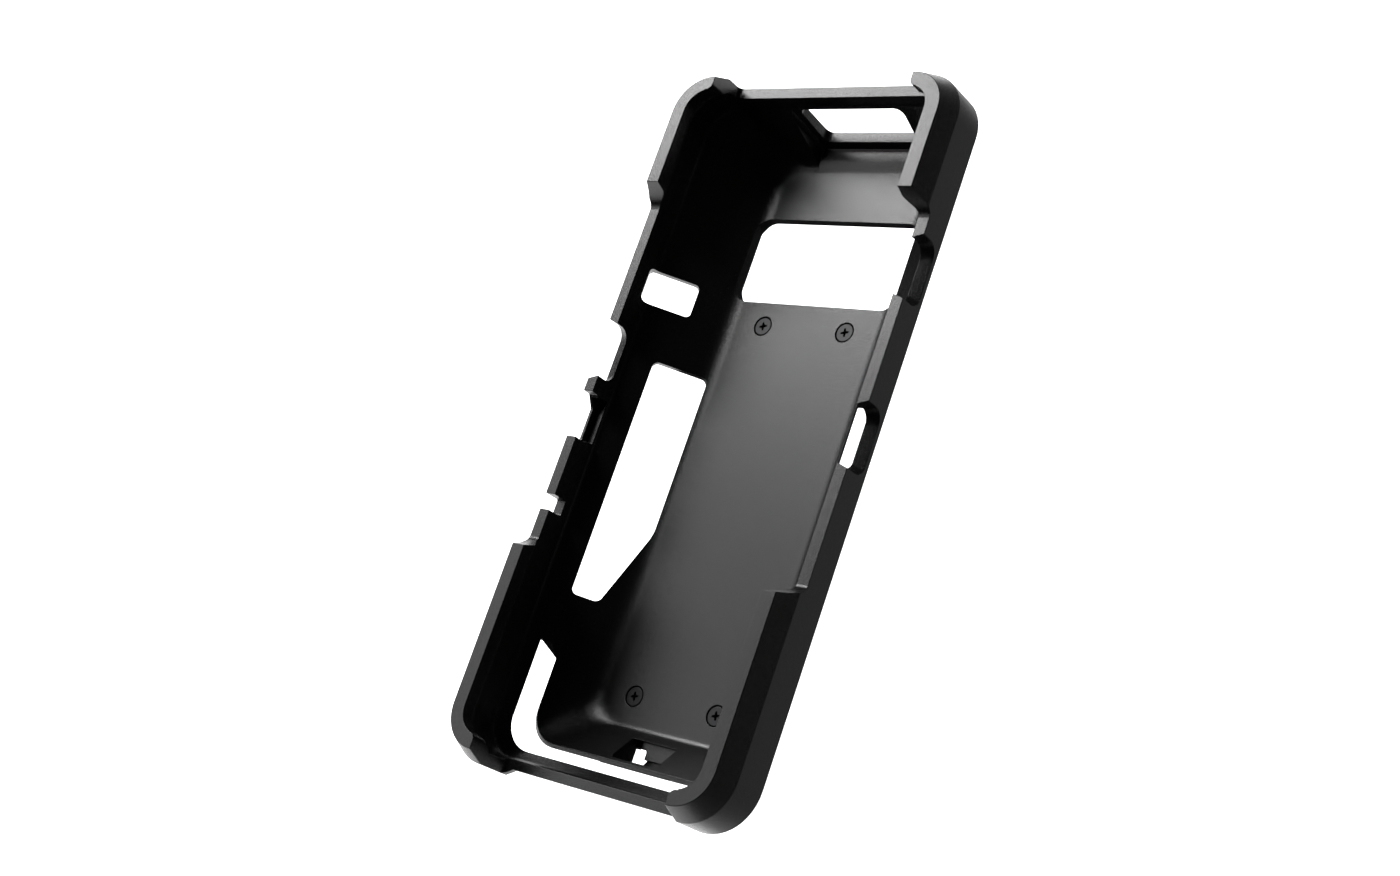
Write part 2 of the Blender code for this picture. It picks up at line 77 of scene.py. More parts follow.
LIP_CHAMFER = 2.4
MOUTH_HALF_WIDTH = HALF_WIDTH - 6.3
MOUTH_HALF_LENGTH = HALF_LENGTH - 6.1
LIP_UNDERSIDE_Z = LIP_Z - 3.8
INNER_HALF_WIDTH = HALF_WIDTH - WALL
INNER_HALF_LENGTH = HALF_LENGTH - WALL
BOTTOM_BEND_STEP = 1.0
SLOPE_RUN = 16.0
TOP_SLOPE_RUN = 9.2
SLOPE_FALL = INNER_BEND_Z - FLOOR_Z
SLOPE_LENGTH = math.hypot(SLOPE_RUN, SLOPE_FALL)
DOWN_SLOPE = (SLOPE_RUN / SLOPE_LENGTH, -SLOPE_FALL / SLOPE_LENGTH)
OUTER_LEAN = SLOPE_RUN / SLOPE_FALL
LOWER_SHELF = 2.1  # the lower slope starts this far in from the band above it
SHELF_DROP = 0.6
OUTER_CORNER = 12.0
LIP_CORNER = 9.7
MOUTH_CORNER = 6.0
INNER_CORNER = 9.5
FLOOR_CORNER = 8.0
BACK_CORNER = 9.0
RIM_LEAD = 0.35  # how far the cavity narrows above the side rims
RIM_CORNER = 9.2
LIP_LEAD = 0.7  # how far the lips' undersides lead in to the mouth
LEAD_CORNER = 6.6
SIDE_FILLET = 8.0
END_FILLET = 3.0
BEND_FILLET = 2.5

UPPER_BUMPER_Y = 59.35
LOWER_BUMPER_Y = -39.45
BUMPER_X = 30.3
BUMPER_RAMP = 4.4  # the length of the curved ramp from a bumper down to the side rim
RAMP_POWER = 2.2
LIP_END_RADIUS = 1.8
LOWER_RAIL_RECESS = 1.6
SCOOP_LENGTH = 16.9
SCOOP_FLARE = 1.3
SCOOP_DEPTH = 6.5
RIGHT_SCOOPS_Y = (42.8, 0.95)
LEFT_SCOOP_Y = 15.6

KEY_STEP_Y = (-8.3, 4.0)
KEY_STEP_Z = LIP_Z - 11.7
KEY_SHELF_Z = LIP_Z - 9.3
KEY_POCKET_Z = (LIP_Z - 13.6, LIP_Z - 9.8)
NOTCH_Y = (-27.95, -23.85)
NOTCH_Z = LIP_Z - 11.8

CAMERA_WINDOW_HALF_WIDTH = 25.0
CAMERA_WINDOW_Y = (40.75, 64.25)
CAMERA_WINDOW_CORNER = 4.0
TOP_WINDOW_Z = (LIP_Z - 26.0, LIP_Z - 15.3)
SWELL_Y = (77.5, 81.5)
SWELL_HEIGHT = 0.65
RELIEF_Y = (-21.0, 16.0)
TETHER_HALF_WIDTH = 7.0
TETHER_LOW_Y = -80.5
TETHER_HIGH_Y = -74.4
TETHER_STEP_X = -5.0  # the pocket and the groove start here, beside the slot
TETHER_SHELF_Y = -76.1
GROOVE_HIGH_Y = -78.45

SCREW_X = 12.76
SCREW_ROWS = {"upper": 34.25, "lower": -64.4}
HOLE_RADIUS = 1.45
HEAD_RADIUS = 2.35
HEAD_HEIGHT = 1.3
HEAD_TOP_Z = FLOOR_Z - 0.1
SHANK_RADIUS = 1.15
SCREW_END_Z = 1.2
THREAD_PITCH = 0.45
THREAD_ROOT = 0.95
RECESS_ARM = 1.25
RECESS_TURN = 12.0
INSERT_RADIUS = 2.1
INSERT_BORE = 1.4
INSERT_Z = (0.9, 5.2)
KNURL_TEETH = 30
KNURL_DEPTH = 0.14
ANCHOR_HALF_WIDTH = 18.5
ANCHOR_PAD = 5.5
ANCHOR_REACH = 10.5
STRAP_SLOT = (26.5, 5.6)
STRAP_BAR_HEIGHT = 3.2
EDGE_ROUND = 0.14  # radius of the broken edges all round the shell
CLEAR = 3.0  # how far a cutter stands out past the face that it cuts

# ---------------------------------------------------------------- light
KEY_DIRECTION = (-0.53, 0.50, 0.68)
FILL_DIRECTION = (-0.70, 0.04, 0.71)
CARD_REACH = 0.8  # the reflector card's half size, in metres
# Strength of the glow that paints the floor's light and shadow into reflections
PAINTED_FLOOR_GLOW_STRENGTH = 1.5
RAMP_REACH = 0.5
# Painted light and shadow of the floor, seen only in reflections: how bright the card glows at each
# distance to the right of the case's middle, in metres
PAINTED_LIGHT_AND_SHADOW_STOPS = [(0.016, 1.0), (0.028, 0.42), (0.038, 0.36), (0.047, 0.19), (0.1, 0.15), (0.3, 0.01)]

# ---------------------------------------------------------------- view
VIEW_LENS = 51.25
VIEW_PLACE = (0.3013, -0.11815, 0.3723)
VIEW_RIGHT = (0.76, 0.3209, -0.5652)  # which way the view's right side points
VIEW_BACK = (0.6427, -0.2414, 0.7271)  # which way the camera's back points

# ---------------------------------------------------------------- smoothness
FINE = 12  # steps in a large corner's arc
SMALL = 6  # steps in a small corner's arc


# ---------------------------------------------------------------- outlines
def rounded_polygon(corners, radii, steps=FINE):
    """The outline through 2-D corners, each rounded by an arc of its own radius."""
    points = []
    count = len(corners)
    for i, (corner, radius) in enumerate(zip(corners, radii)):
        here = Vector(corner)
        back = (Vector(corners[i - 1]) - here).normalized()
        ahead = (Vector(corners[(i + 1) % count]) - here).normalized()
        if radius <= 0:
            points.append(tuple(here))
            continue
        half = back.angle(ahead) / 2
        centre = here + (back + ahead).normalized() * (radius / math.sin(half))
        reach = radius / math.tan(half)
        start = (here + back * reach) - centre
        end = (here + ahead * reach) - centre
        turn = start.angle_signed(end)
        for step in range(steps + 1):
            angle = -turn * step / steps
            points.append((
                centre.x + start.x * math.cos(angle) - start.y * math.sin(angle),
                centre.y + start.x * math.sin(angle) + start.y * math.cos(angle),
            ))
    return points


def rounded_box(half_width, low, high, radius, steps=FINE):
    corners = [(-half_width, low), (half_width, low), (half_width, high), (-half_width, high)]
    return rounded_polygon(corners, [radius] * 4, steps)


def circle(radius, steps, centre=(0.0, 0.0)):
    return [
        (centre[0] + radius * math.cos(2 * math.pi * i / steps),
         centre[1] + radius * math.sin(2 * math.pi * i / steps))
        for i in range(steps)
    ]


# ---------------------------------------------------------------- solids, in mm
def new_object(name, bm):
    bmesh.ops.recalc_face_normals(bm, faces=bm.faces)
    mesh = bpy.data.meshes.new(name)
    bm.to_mesh(mesh)
    bm.free()
    obj = bpy.data.objects.new(name, mesh)
    bpy.context.scene.collection.objects.link(obj)
    return obj


def skin(name, loops):
    """A closed solid through a row of loops, each a list of 3-D points, with flat end caps."""
    bm = bmesh.new()
    rings = [[bm.verts.new(p) for p in loop] for loop in loops]
    for low, high in zip(rings, rings[1:]):
        for i in range(len(low)):
            j = (i + 1) % len(low)
            bm.faces.new((low[i], low[j], high[j], high[i]))
    bm.faces.new(list(reversed(rings[0])))
    bm.faces.new(rings[-1])
    return new_object(name, bm)


def stack(name, sections):
    """A solid lofted through (outline, z) sections."""
    return skin(name, [[(x, y, z) for x, y in outline] for outline, z in sections])


def bar_along_x(name, outline, low, high):
    return skin(name, [[(x, y, z) for y, z in outline] for x in (low, high)])


def bar_along_y(name, outline, low, high):
    return skin(name, [[(x, y, z) for x, z in outline] for y in (low, high)])


def settle(obj):
    """Applies the object's modifiers to its mesh."""
    bpy.context.view_layer.update()
    evaluated = obj.evaluated_get(bpy.context.evaluated_depsgraph_get())
    mesh = bpy.data.meshes.new_from_object(evaluated)
    obj.modifiers.clear()
    old = obj.data
    obj.data = mesh
    bpy.data.meshes.remove(old)


def carve(body, tools, operation="DIFFERENCE"):
    """Cuts the tools from the body, or adds them to it, one after the other."""
    for tool in tools:
        modifier = body.modifiers.new(tool.name, "BOOLEAN")
        modifier.operation = operation
        modifier.solver = "EXACT"
        modifier.object = tool
        settle(body)
        bpy.data.objects.remove(tool, do_unlink=True)


def break_edges(obj, width, segments=2, angle=20.0):
    """Cleans the cuts, rounds every edge sharper than the angle and smooths what is left."""
    bm = bmesh.new()
    bm.from_mesh(obj.data)
    bmesh.ops.remove_doubles(bm, verts=bm.verts, dist=0.02)
    bmesh.ops.dissolve_degenerate(bm, edges=bm.edges, dist=0.05)
    bmesh.ops.dissolve_limit(
        bm, angle_limit=math.radians(0.6), verts=bm.verts, edges=bm.edges)
    bm.to_mesh(obj.data)
    bm.free()
    bevel = obj.modifiers.new("edge", "BEVEL")
    bevel.width = width
    bevel.segments = segments
    bevel.limit_method = "ANGLE"
    bevel.angle_limit = math.radians(angle)
    bevel.use_clamp_overlap = False
    bevel.miter_outer = "MITER_ARC"
    bevel.harden_normals = False
    settle(obj)
    obj.data.shade_smooth()
    weighted = obj.modifiers.new("weighted", "WEIGHTED_NORMAL")
    weighted.weight = 50
    weighted.keep_sharp = True
    settle(obj)


def give(obj, material):
    obj.data.materials.clear()
    obj.data.materials.append(material)


def fit(obj, node_name, material):
    """Puts a finished piece in the place of its CAD node."""
    obj.data.transform(Matrix.Scale(MM, 4))
    give(obj, material)
    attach(obj, "root")
    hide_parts(node_name)
    return obj


# ---------------------------------------------------------------- the shell
def outer_body():
    fall = OUTER_BEND_Z - BACK_Z
    lean = OUTER_LEAN * fall
    top_lean = TOP_SLOPE_RUN / SLOPE_FALL * fall
    lip = LIP_CHAMFER
    step = OUTER_LEAN * SHELF_DROP
    return stack("case_shell_fine", [
        (rounded_box(HALF_WIDTH - lean, lean + LOWER_SHELF - HALF_LENGTH, HALF_LENGTH - top_lean,
                     BACK_CORNER),
         BACK_Z),
        (rounded_box(HALF_WIDTH - step, step + LOWER_SHELF - HALF_LENGTH,
                     HALF_LENGTH - step * TOP_SLOPE_RUN / SLOPE_RUN, OUTER_CORNER),
         OUTER_BEND_Z - SHELF_DROP),
        (rounded_box(HALF_WIDTH, -HALF_LENGTH, HALF_LENGTH, OUTER_CORNER), OUTER_BEND_Z),
        (rounded_box(HALF_WIDTH, -HALF_LENGTH, HALF_LENGTH, OUTER_CORNER), CHAMFER_FOOT_Z),
        (rounded_box(HALF_WIDTH - lip, lip - HALF_LENGTH, HALF_LENGTH - lip, LIP_CORNER), LIP_Z),
    ])


def fillet_inset(rise, radius, steepness):
    """How far inside the foot of a slope its filleted surface lies, at a height above the floor."""
    if rise >= radius * (1 - math.cos(steepness)):
        return -rise / math.tan(steepness)
    angle = math.acos(1 - rise / radius)
    return radius * (math.tan(steepness / 2) - math.sin(angle))


def cavity():
    """The space for the device: under the lips, straight walls, slopes and a filleted floor."""
    mouth = MOUTH_HALF_WIDTH
    mouth_length = MOUTH_HALF_LENGTH
    width, length = INNER_HALF_WIDTH, INNER_HALF_LENGTH
    steepness = math.atan2(SLOPE_FALL, SLOPE_RUN)
    share = TOP_SLOPE_RUN / SLOPE_RUN
    sections = []
    for step in range(13):
        rise = SIDE_FILLET * (1 - math.cos(steepness * step / 12))
        side = SLOPE_RUN + fillet_inset(rise, SIDE_FILLET, steepness)
        end = SLOPE_RUN + fillet_inset(rise, END_FILLET, steepness)
        top = TOP_SLOPE_RUN + fillet_inset(rise, SIDE_FILLET, steepness) * share
        sections.append((rounded_box(
            width - side, end + BOTTOM_BEND_STEP - length, length - top, FLOOR_CORNER), FLOOR_Z + rise))
    # A small fillet where the slopes meet the straight walls
    turn = math.pi / 2 - steepness
    bend_reach = BEND_FILLET * math.tan(turn / 2)
    for step in range(6):
        angle = turn * (1 - step / 5)
        inset = BEND_FILLET * (1 - math.cos(angle))
        height = INNER_BEND_Z + bend_reach - BEND_FILLET * math.sin(angle)
        sections.append((rounded_box(
            width - inset, inset + BOTTOM_BEND_STEP - length, length - inset * share,
            INNER_CORNER), height))
    sections += [
        (rounded_box(width, 0.15 - length, length, INNER_CORNER), INNER_BEND_Z + 2.6),
        (rounded_box(width, -length, length, INNER_CORNER), SIDE_RIM_Z - 0.6),
        (rounded_box(width - RIM_LEAD, RIM_LEAD - length, length - RIM_LEAD, RIM_CORNER),
         SIDE_RIM_Z + 0.5),
        (rounded_box(mouth + LIP_LEAD, -mouth_length - LIP_LEAD, mouth_length + LIP_LEAD, LEAD_CORNER),
         LIP_UNDERSIDE_Z - 0.6),
        (rounded_box(mouth, -mouth_length, mouth_length, MOUTH_CORNER), LIP_UNDERSIDE_Z + 0.5),
        (rounded_box(mouth, -mouth_length, mouth_length, MOUTH_CORNER), LIP_Z + 2),
    ]
    return stack("cavity_cutter", sections)


def tapered_block(name, low_plan, low_z, high_plan, high_z, radii):
    """A block whose plan changes from one (left, right, start, end) to another on its way up."""
    sections = []
    for (left, right, start, end), z in ((low_plan, low_z), (high_plan, high_z)):
        corners = [(left, start), (right, start), (right, end), (left, end)]
        sections.append((rounded_polygon(corners, radii, SMALL), z))
    return stack(name, sections)


def top_window_housing():
    return tapered_block("top_housing", (-17.0, 23.0, 75.0, 86.9), BACK_Z + 0.6,
                         (-21.0, 26.0, 75.0, 91.6), OUTER_BEND_Z + 2, [1.0, 1.0, 3.0, 3.0])


def top_recess():
    return tapered_block("top_recess_cutter", (-12.1, 20.0, 70.0, 84.45), FLOOR_Z,
                         (-17.0, 23.5, 70.0, 88.95), INNER_BEND_Z + 0.4, [1.0, 1.0, 1.5, 1.5])


def recess_swell():
    """A slight rise of the floor towards the top window."""
    start, end = SWELL_Y
    foot = FLOOR_Z - 0.03
    outline = [(start, FLOOR_Z - 1), (start, foot)]
    for step in range(1, 15):
        share = step / 14
        rise = SWELL_HEIGHT * (1 - math.cos(math.pi * share)) / 2
        outline.append((start + (end - start) * share, foot + rise))
    outline += [(85.3, foot + SWELL_HEIGHT), (85.3, FLOOR_Z - 1)]
    return bar_along_x("recess_swell", outline, -12.9, 20.8)


def side_rim_cutter():
    """Takes the sides down to their rims, with a ramp up to each bumper."""
    up, down = UPPER_BUMPER_Y, LOWER_BUMPER_Y
    drop = LIP_Z - SIDE_RIM_Z
    ramp = []
    for step in range(11):
        share = step / 10
        ramp.append((-BUMPER_RAMP * share, 1 - (1 - share) ** RAMP_POWER))
    upper = [(up + dy, LIP_Z - drop * share) for dy, share in ramp]
    lower = [(down - dy, LIP_Z - drop * share) for dy, share in reversed(ramp)]
    outline = [(up, LIP_Z + CLEAR)] + upper + lower + [(down, LIP_Z + CLEAR)]
    return bar_along_x("side_rim_cutter", outline, -HALF_WIDTH - 5, HALF_WIDTH + 5)


def end_rim_cutter(name, rim_z, low, high):
    outline = rounded_polygon(
        [(-BUMPER_X, LIP_Z + CLEAR), (-BUMPER_X, rim_z), (BUMPER_X, rim_z), (BUMPER_X, LIP_Z + CLEAR)],
        [0, 1.6, 1.6, 0], SMALL)
    return bar_along_y(name, outline, low, high)


def lip_end_rounders():
    """Round the inner corners of the lips, where they stop at the gaps between the bumpers."""
    x, y, radius = BUMPER_X, MOUTH_HALF_LENGTH, LIP_END_RADIUS
    outline = [(x - 0.6, y - 0.6), (x + radius + 0.3, y - 0.6), (x + radius + 0.3, y - 0.05)]
    for degrees in range(262, 187, -6):
        angle = math.radians(degrees)
        outline.append((x + radius * (1 + math.cos(angle)), y + radius * (1 + math.sin(angle))))
    outline += [(x - 0.05, y + radius + 0.3), (x - 0.6, y + radius + 0.3)]
    rounders = []
    for side in (-1, 1):
        for end in (-1, 1):
            plan = [(side * px, end * py) for px, py in outline]
            name = f"lip_rounder_{len(rounders)}"
            rounders.append(stack(name, [(plan, LIP_UNDERSIDE_Z - 4), (plan, LIP_Z + 2)]))
    return rounders


def lower_rail_recess():
    wide, narrow = BUMPER_X, BUMPER_X - 2.5
    face = LOWER_RAIL_RECESS - HALF_LENGTH
    outline = [(-wide, -HALF_LENGTH - 5), (wide, -HALF_LENGTH - 5), (wide, -HALF_LENGTH),
               (narrow, face), (-narrow, face), (-wide, -HALF_LENGTH)]
    return stack("lower_rail_cutter", [(outline, OUTER_BEND_Z - 1.4), (outline, LIP_Z + CLEAR)])


def scoop(name, side, middle):
    """A U-shaped dip in a side rim that flares outwards."""
    loops = []
    for distance, grow in ((INNER_HALF_WIDTH - 1.5, -SCOOP_FLARE / 2), (HALF_WIDTH + 1.5, SCOOP_FLARE)):
        half = SCOOP_LENGTH / 2 - SCOOP_FLARE + grow + 0.2
        low = SIDE_RIM_Z - SCOOP_DEPTH + SCOOP_FLARE - grow - 0.3
        outline = rounded_polygon(
            [(middle - half, SIDE_RIM_Z + CLEAR), (middle - half, low), (middle + half, low),
             (middle + half, SIDE_RIM_Z + CLEAR)],
            [0, 2.6, 3.4, 0])
        loops.append([(side * distance, y, z) for y, z in outline])
    return skin(name, loops)


def left_rim_notches():
    """The stepped recess for the side keys, the pocket behind it and the square notch."""
    low, high = KEY_STEP_Y
    above = SIDE_RIM_Z + CLEAR
    inside, outside = -INNER_HALF_WIDTH + 2, -HALF_WIDTH - 2
    step = rounded_polygon(
        [(low, above), (low, KEY_STEP_Z), (high - 3, KEY_STEP_Z), (high, KEY_SHELF_Z), (high, above)],
        [0, 1.0, 1.0, 0.5, 0], SMALL)
    floor, roof = KEY_POCKET_Z
    pocket = [(low + 0.5, floor), (high - 0.3, floor), (high - 0.3, roof), (low + 0.5, roof)]
    start, end = NOTCH_Y
    square = rounded_polygon(
        [(start, above), (start, NOTCH_Z), (end, NOTCH_Z), (end, above)], [0, 0.5, 0.5, 0], 4)
    return [
        bar_along_x("key_step_cutter", step, outside, inside),
        bar_along_x("key_pocket_cutter", pocket, -HALF_WIDTH + 0.9, inside),
        bar_along_x("square_notch_cutter", square, outside, inside),
    ]


def on_side_slope(side, along, y, outwards):
    """The point at a distance down a side slope's inner face, and outwards through the wall."""
    x = INNER_HALF_WIDTH - along * DOWN_SLOPE[0] - outwards * DOWN_SLOPE[1]
    z = INNER_BEND_Z + along * DOWN_SLOPE[1] - outwards * DOWN_SLOPE[0]
    return (side * x, y, z)


def slope_window(name, side, corners, radii, inside=-5.0, outside=7.0):
    outline = rounded_polygon(corners, radii)
    return skin(name, [
        [on_side_slope(side, along, y, depth) for along, y in outline] for depth in (inside, outside)
    ])


def tapered_window(name, side):
    """The long window in a side slope, which narrows towards the lower end."""
    corners = [(6.9, 18.3), (21.4, 18.3), (21.4, -24.2), (14.1, -44.7), (6.9, -44.7)]
    return slope_window(name, side, corners, [1.6, 1.6, 12.0, 2.0, 1.6])


def right_window_relief():
    """Undercuts the panel's edge along the right-hand window, from the back, to a thin land."""
    land = INNER_HALF_WIDTH - SLOPE_RUN
    outline = [(land + 0.2, FLOOR_Z + 0.26), (land - 2.53, BACK_Z - 0.8), (land + 6, BACK_Z - 0.8),
               (land + 6, FLOOR_Z + 0.26)]
    return bar_along_y("right_relief_cutter", outline, RELIEF_Y[0], RELIEF_Y[1])


def left_window():
    corners = [(-1.8, 41.1), (11.6, 41.1), (11.6, 32.1), (-1.8, 32.1)]
    return slope_window("left_window_cutter", -1, corners, [1.3] * 4)


def end_slot():
    """The slot that runs round the lower end, through both side slopes and the end slope."""
    sections = []
    for along, outwards, end in (
        (3.9, -4.0, -57.9), (6.5, -4.0, -57.9), (9.0, -4.0, -61.2),
        (9.0, 5.0, -61.2), (6.5, 5.0, -57.9), (3.9, 5.0, -57.9),
    ):
        x, _, z = on_side_slope(1, along, 0.0, outwards)
        low = x - INNER_HALF_WIDTH - BOTTOM_BEND_STEP + INNER_HALF_LENGTH
        path = rounded_polygon([(-x, end), (-x, -low), (x, -low), (x, end)], [0, 8.0, 8.0, 0], 14)
        sections.append([Vector((px, py, z)) for px, py in path])
    return skin("end_slot_cutter", list(zip(*sections)))


def camera_window():
    low, high = CAMERA_WINDOW_Y
    outline = rounded_box(CAMERA_WINDOW_HALF_WIDTH, low, high, CAMERA_WINDOW_CORNER)
    return stack("camera_cutter", [(outline, BACK_Z - CLEAR), (outline, INNER_BEND_Z)])


def top_window():
    low, high = TOP_WINDOW_Z
    outline = rounded_polygon(
        [(-10.2, low), (18.2, low), (18.2, high), (-13.2, high)], [2.4, 2.0, 2.4, 1.2], SMALL)
    return bar_along_y("top_window_cutter", outline, 78.0, HALF_LENGTH + 4)


def tether_boss():
    """The block on the back of the lower slope that carries the tether bar."""
    half, low, draft = TETHER_HALF_WIDTH + 3.6, TETHER_LOW_Y - 0.9, 1.0
    foot = rounded_box(half, low, TETHER_HIGH_Y + 5, 2.0, 5)
    top = rounded_box(half + draft, low - draft, TETHER_HIGH_Y + 5, 2.0, 5)
    return stack("tether_boss", [(foot, BACK_Z + 0.4), (top, FLOOR_Z + 8.2)])


def tether_pocket():
    """A pocket over the tether bar, the groove behind the bar and the holes at its two ends."""
    half, low, high = TETHER_HALF_WIDTH, TETHER_LOW_Y, TETHER_HIGH_Y
    pocket = rounded_polygon(
        [(half, low), (half, high), (-half, high), (-half, TETHER_SHELF_Y),
         (TETHER_STEP_X, TETHER_SHELF_Y), (TETHER_STEP_X, low)],
        [0.8, 0.8, 0.8, 0, 0, 0], 5)
    groove = rounded_polygon(
        [(half, low), (half, GROOVE_HIGH_Y), (TETHER_STEP_X, GROOVE_HIGH_Y), (TETHER_STEP_X, low)],
        [0.8, 0.4, 0, 0], 5)
    slot = rounded_polygon(
        [(-half, low), (-4.9, low), (-3.5, -78.6), (-3.5, -76.0), (-half, -76.0)],
        [0.8, 0, 0.3, 1.0, 0], 5)
    undercut = rounded_box(1.7, -80.2, -76.2, 0.5, 5)
    undercut = [(x - half, y) for x, y in undercut]
    hole = circle(1.5, 32, (4.9, -77.2))
    return [
        stack("tether_pocket_cutter", [(pocket, FLOOR_Z), (pocket, FLOOR_Z + 12)]),
        stack("tether_groove_cutter", [(groove, FLOOR_Z - 1.2), (groove, FLOOR_Z + 4)]),
        stack("tether_slot_cutter", [(slot, BACK_Z - 8), (slot, FLOOR_Z + 12)]),
        stack("tether_undercut_cutter", [(undercut, BACK_Z - 8), (undercut, FLOOR_Z - 0.5)]),
        stack("tether_hole_cutter", [(hole, BACK_Z - 8), (hole, FLOOR_Z + 3)]),
    ]


def screw_positions():
    """The name and place of each of the four screws."""
    for row, y in SCREW_ROWS.items():
        for side_name, side in (("left", -1), ("right", 1)):
            yield f"{row}_{side_name}", side * SCREW_X, y


def screw_hole(name, x, y):
    head = HEAD_RADIUS + 0.3
    return stack(f"{name}_hole", [
        (circle(HOLE_RADIUS, 40, (x, y)), BACK_Z - 2),
        (circle(HOLE_RADIUS, 40, (x, y)), FLOOR_Z - 1.4),
        (circle(head, 40, (x, y)), FLOOR_Z - 0.25),
        (circle(head, 40, (x, y)), FLOOR_Z + 2),
    ])


def fine_shell(material):
    shell = outer_body()
    carve(shell, [top_window_housing(), tether_boss()], "UNION")
    tools = [
        cavity(), top_recess(), side_rim_cutter(),
        end_rim_cutter("top_rim_cutter", TOP_RIM_Z, 40.0, HALF_LENGTH + 5),
        end_rim_cutter("lower_rim_cutter", BOTTOM_RIM_Z, -HALF_LENGTH - 5, -40.0),
        lower_rail_recess(), camera_window(), top_window(), left_window(),
        tapered_window("left_tapered_cutter", -1), tapered_window("right_tapered_cutter", 1),
        right_window_relief(),
        end_slot(), *tether_pocket(), *left_rim_notches(), *lip_end_rounders(),
        scoop("left_scoop_cutter", -1, LEFT_SCOOP_Y),
    ]
    for number, middle in enumerate(RIGHT_SCOOPS_Y, 1):
        tools.append(scoop(f"right_scoop_cutter_{number}", 1, middle))
    for name, x, y in screw_positions():
        tools.append(screw_hole(name, x, y))
    carve(shell, tools)
    carve(shell, [recess_swell()], "UNION")
    break_edges(shell, EDGE_ROUND)
    return fit(shell, "case_shell", material)


# ---------------------------------------------------------------- screws, inserts, anchors
def cross_outline(arm, x, y):
    """The twelve corners of a cross recess centred on (x, y)."""
    web = arm * 0.2
    points = []
    for quarter in range(4):
        turn = math.radians(90 * quarter + RECESS_TURN)
        for a, b in ((arm, -web), (arm, web), (web * 1.5, web * 1.5)):
            points.append((
                x + a * math.cos(turn) - b * math.sin(turn),
                y + a * math.sin(turn) + b * math.cos(turn),
            ))
    return points


def fine_screw(name, x, y, material):
    """A countersunk screw with a crowned rim, a cross recess and a threaded shank."""
    top, foot = HEAD_TOP_Z, SCREW_END_Z
    sections = [(SHANK_RADIUS - 0.25, foot), (SHANK_RADIUS, foot + 0.25)]
    crest = foot + 0.5
    while crest < top - HEAD_HEIGHT - THREAD_PITCH:
        sections += [
            (SHANK_RADIUS, crest), (THREAD_ROOT, crest + THREAD_PITCH * 0.45),
            (THREAD_ROOT, crest + THREAD_PITCH * 0.55), (SHANK_RADIUS, crest + THREAD_PITCH * 0.95),
        ]
        crest += THREAD_PITCH
    sections += [
        (SHANK_RADIUS, top - HEAD_HEIGHT), (HEAD_RADIUS, top - 0.26), (HEAD_RADIUS, top - 0.07),
        (HEAD_RADIUS - 0.07, top),
    ]
    body = stack(f"screw_{name}_fine", [(circle(r, 48, (x, y)), z) for r, z in sections])
    recess = stack("recess", [
        (cross_outline(RECESS_ARM * 0.5, x, y), top - 0.95),
        (cross_outline(RECESS_ARM, x, y), top + 0.2),
    ])
    carve(body, [recess])
    break_edges(body, 0.05, 2, 30.0)
    return fit(body, f"screw_{name}", material)


def knurled(radius, x, y):
    """An outline of small teeth round a circle."""
    points = []
    for i in range(2 * KNURL_TEETH):
        angle = math.pi * i / KNURL_TEETH
        r = radius if i % 2 else radius - KNURL_DEPTH
        points.append((x + r * math.cos(angle), y + r * math.sin(angle)))
    return points


def fine_insert(name, x, y, material):
    """A brass insert with two knurled bands, a groove between them and a bored middle."""
    low, high = INSERT_Z
    waist = (low + high) / 2
    groove = circle(INSERT_RADIUS - 0.3, 2 * KNURL_TEETH, (x, y))
    collar = circle(INSERT_RADIUS - 0.12, 2 * KNURL_TEETH, (x, y))
    tooth = knurled(INSERT_RADIUS, x, y)
    body = stack(f"insert_{name}_fine", [
        (collar, low), (collar, low + 0.3), (tooth, low + 0.35), (tooth, waist - 0.4),
        (groove, waist - 0.3), (groove, waist + 0.3), (tooth, waist + 0.4), (tooth, high - 0.35),
        (collar, high - 0.3), (collar, high),
    ])
    bore = circle(INSERT_BORE, 40, (x, y))
    carve(body, [stack("bore", [(bore, low - 1), (bore, high + 1)])])
    break_edges(body, 0.04, 1, 40.0)
    return fit(body, f"insert_{name}", material)


def fine_anchor(row, y, towards, material):
    """A screw pad with two arms that carry a bar, standing clear of the back, for a strap."""
    top = BACK_Z - 0.3
    back = y - towards * ANCHOR_PAD
    bar = y + towards * (ANCHOR_PAD + ANCHOR_REACH)
    low, high = sorted((back, bar))
    plan = rounded_box(ANCHOR_HALF_WIDTH, low, high, 4.0)
    foot = rounded_box(ANCHOR_HALF_WIDTH - 0.6, low + 0.6, high - 0.6, 3.4)
    body = stack(f"strap_anchor_{row}_fine", [(foot, 0.0), (plan, 0.6), (plan, top)])
    half_slot = STRAP_SLOT[0] / 2
    slot_start = y + towards * (ANCHOR_PAD - 0.2)
    slot_low, slot_high = sorted((slot_start, slot_start + towards * STRAP_SLOT[1]))
    slot = rounded_box(half_slot, slot_low, slot_high, 1.2, SMALL)
    over_low, over_high = sorted((slot_start, bar + towards * 3))
    relief = rounded_box(half_slot, over_low, over_high, 1.2, SMALL)
    tools = [
        stack("strap_slot", [(slot, -2), (slot, top + 2)]),
        stack("strap_relief", [(relief, STRAP_BAR_HEIGHT), (relief, top + 2)]),
    ]
    for name, x, screw_y in screw_positions():
        if screw_y == y:
            pocket = circle(INSERT_RADIUS + 0.3, 40, (x, y))
            tools.append(stack(f"{name}_pocket", [(pocket, INSERT_Z[0] - 0.3), (pocket, top + 2)]))
    carve(body, tools)
    break_edges(body, 0.45, 3, 25.0)
    return fit(body, f"strap_anchor_{row}", material)


